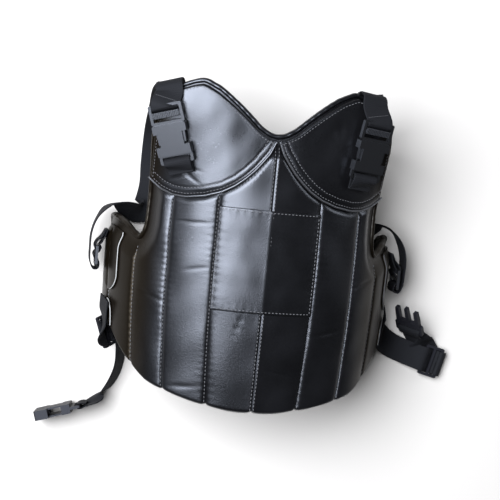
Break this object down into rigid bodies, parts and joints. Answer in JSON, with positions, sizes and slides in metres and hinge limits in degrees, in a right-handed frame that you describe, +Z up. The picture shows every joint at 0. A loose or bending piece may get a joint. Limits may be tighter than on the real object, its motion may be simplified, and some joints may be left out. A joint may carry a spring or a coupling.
{
  "type": "martial arts chest protector",
  "caption": "Padded martial arts chest protector with bound edges, stitched channels, a front patch, buckled shoulder straps and loose waist straps.",
  "frame": {"origin": "middle of the footprint, on the surface that the protector lies on", "axes": "+X to the right when looking at the chest, +Y from the hem towards the neck, +Z up out of the chest"},
  "size_m": [0.631, 0.5314, 0.2294],
  "materials": {
    "vinyl": "semi-gloss black faux leather with a fine grain",
    "edging": "semi-gloss black faux leather strip",
    "webbing": "matt black woven webbing",
    "plastic": "semi-gloss black moulded plastic"
  },
  "bodies": {
    "root": {"padded_shell": "vinyl", "edge_binding": "edging", "chest_panel_right": "vinyl", "chest_panel_left": "vinyl", "front_patch": "vinyl", "shoulder_socket_left": "plastic", "shoulder_plug_left": "plastic", "shoulder_anchor_left": "webbing", "shoulder_strap_left": "webbing", "shoulder_socket_right": "plastic", "shoulder_plug_right": "plastic", "shoulder_anchor_right": "webbing", "shoulder_strap_right": "webbing", "upper_tab_left": "vinyl", "lower_tab_left": "vinyl", "wing_slider_left": "plastic", "wing_anchor_left": "webbing", "upper_tab_right": "vinyl", "lower_tab_right": "vinyl", "wing_slider_right": "plastic", "wing_anchor_right": "webbing", "waist_slider_left": "plastic", "waist_socket": "plastic", "waist_strap_left": "webbing", "waist_slider_right": "plastic", "waist_plug": "plastic", "waist_strap_right": "webbing"}
  },
  "joints": []
}
